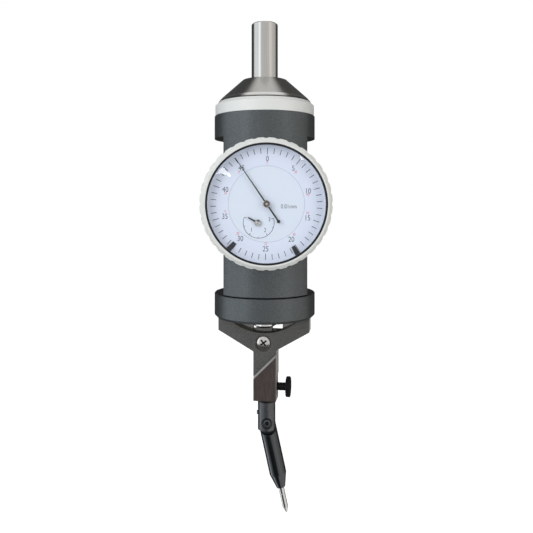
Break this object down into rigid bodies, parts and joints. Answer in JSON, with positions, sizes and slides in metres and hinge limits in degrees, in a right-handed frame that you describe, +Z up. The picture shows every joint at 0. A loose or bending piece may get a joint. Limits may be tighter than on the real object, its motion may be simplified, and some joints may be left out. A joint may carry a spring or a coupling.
{
  "type": "centering indicator",
  "caption": "Coaxial dial centering indicator: straight shank on a ball-bearing spindle, still housing with a rotating-bezel dial, swinging yoke and jointed feeler",
  "frame": {"origin": "on the spindle's axis at the shoulder where the shank meets the head", "axes": "+Z up along the shank, +X to the right as the dial is read, -Y to the front where the dial is"},
  "size_m": [0.046, 0.0473, 0.1852],
  "materials": {
    "ground_steel": "ground bright",
    "chromed_steel": "polished",
    "bearing_steel": "polished",
    "spring_steel": "satin",
    "slate_anodised": "fine matt anodised",
    "cream_anodised": "satin anodised, warm white",
    "black_screw": "black oxide",
    "movement_brass": "satin",
    "dial_white": "printed matt white",
    "black_paint": "matt black",
    "hub_bronze": "satin",
    "crystal": "clear",
    "black_rubber": "matt",
    "blackened_steel": "blackened, ground",
    "nickel_screw": "nickel plated",
    "blued_steel": "blued, semi gloss"
  },
  "bodies": {
    "spindle": {"shank_and_head": "ground_steel", "spindle": "chromed_steel", "bearing_spacer": "ground_steel", "spindle_circlip": "spring_steel", "upper_bearing_inner_ring": "bearing_steel", "lower_bearing_inner_ring": "bearing_steel"},
    "housing": {"housing": "slate_anodised", "cap_ring": "cream_anodised", "cap_screws": "black_screw", "skirt": "slate_anodised", "skirt_screws": "black_screw", "upper_bearing_outer_ring": "bearing_steel", "upper_bearing_balls": "bearing_steel", "lower_bearing_outer_ring": "bearing_steel", "lower_bearing_balls": "bearing_steel", "return_springs": "spring_steel", "dial_case": "cream_anodised", "case_screws": "black_screw", "back_plate": "movement_brass", "front_plate": "movement_brass", "plate_pillars": "movement_brass", "plate_screws": "ground_steel", "inner_dial": "dial_white", "bezel_wire": "spring_steel"},
    "lift": {"lift_plate": "movement_brass", "wear_ring": "bearing_steel", "guide_rods": "ground_steel", "rack": "ground_steel"},
    "drive": {"rack_pinion": "ground_steel", "drive_wheel": "movement_brass"},
    "pointer": {"centre_pinion": "ground_steel", "pointer": "black_paint", "pointer_hub": "hub_bronze"},
    "counter": {"counter_arbor": "ground_steel", "counter_wheel": "movement_brass", "counter_hand": "black_paint"},
    "bezel": {"bezel": "cream_anodised", "crystal": "crystal", "crystal_gasket": "black_rubber", "scale_ring": "dial_white", "tolerance_markers": "black_paint"},
    "yoke": {"yoke": "blackened_steel", "pivot_screw": "nickel_screw", "feeler_holder": "blackened_steel", "holder_screws": "black_screw"},
    "thumb_screw": {"thumb_screw": "black_screw"},
    "feeler_sleeve": {"feeler_sleeve": "blued_steel", "sleeve_pin": "blued_steel"},
    "feeler": {"feeler_rod": "blued_steel", "feeler_tip": "chromed_steel", "knuckle_screw": "black_screw"}
  },
  "joints": [
    {"name": "spindle_spin", "type": "hinge", "parent": "spindle", "child": "housing", "pos_m": [0, 0, -0.04665], "axis": [0, 0, 1], "continuous": true},
    {"name": "yoke_swing", "type": "hinge", "parent": "spindle", "child": "yoke", "pos_m": [0, 0, -0.09905], "axis": [-0.1762, -0.9843, 0], "range_deg": [0, 12], "stiffness_Nm_per_rad": 0.06, "springref_deg": -5.73},
    {"name": "lift_slide", "type": "slide", "parent": "housing", "child": "lift", "axis": [0, 0, 1], "range_m": [0, 0.003], "deforming": ["return_springs"]},
    {"name": "drive_turn", "type": "hinge", "parent": "housing", "child": "drive", "pos_m": [0.00635, -0.015, -0.05198], "axis": [0, 1, 0], "range_deg": [-180, 0]},
    {"name": "pointer_turn", "type": "hinge", "parent": "housing", "child": "pointer", "pos_m": [0, -0.02, -0.04665], "axis": [0, 1, 0], "range_deg": [0, 2160]},
    {"name": "counter_turn", "type": "hinge", "parent": "housing", "child": "counter", "pos_m": [-0.00293, -0.02, -0.05302], "axis": [0, 1, 0], "range_deg": [-216, 0]},
    {"name": "bezel_turn", "type": "hinge", "parent": "housing", "child": "bezel", "pos_m": [0, -0.024, -0.04665], "axis": [0, 1, 0], "continuous": true},
    {"name": "thumb_turn", "type": "hinge", "parent": "yoke", "child": "thumb_screw", "pos_m": [-0.00024, -0.00133, -0.11555], "axis": [0.9843, -0.1762, 0], "range_deg": [0, 360]},
    {"name": "feeler_turn", "type": "hinge", "parent": "yoke", "child": "feeler_sleeve", "pos_m": [0.0007, -0.0015, -0.12045], "axis": [0, 0, 1], "continuous": true},
    {"name": "feeler_tilt", "type": "hinge", "parent": "feeler_sleeve", "child": "feeler", "pos_m": [0.0007, -0.0015, -0.12885], "axis": [0.0087, -1, 0], "range_deg": [-70, 45]}
  ],
  "couplings": [
    {"joint": "lift_slide", "follows": "yoke_swing", "m_per_rad": 0.014323},
    {"joint": "drive_turn", "follows": "yoke_swing", "ratio": -15},
    {"joint": "pointer_turn", "follows": "yoke_swing", "ratio": 180},
    {"joint": "counter_turn", "follows": "yoke_swing", "ratio": -18}
  ]
}
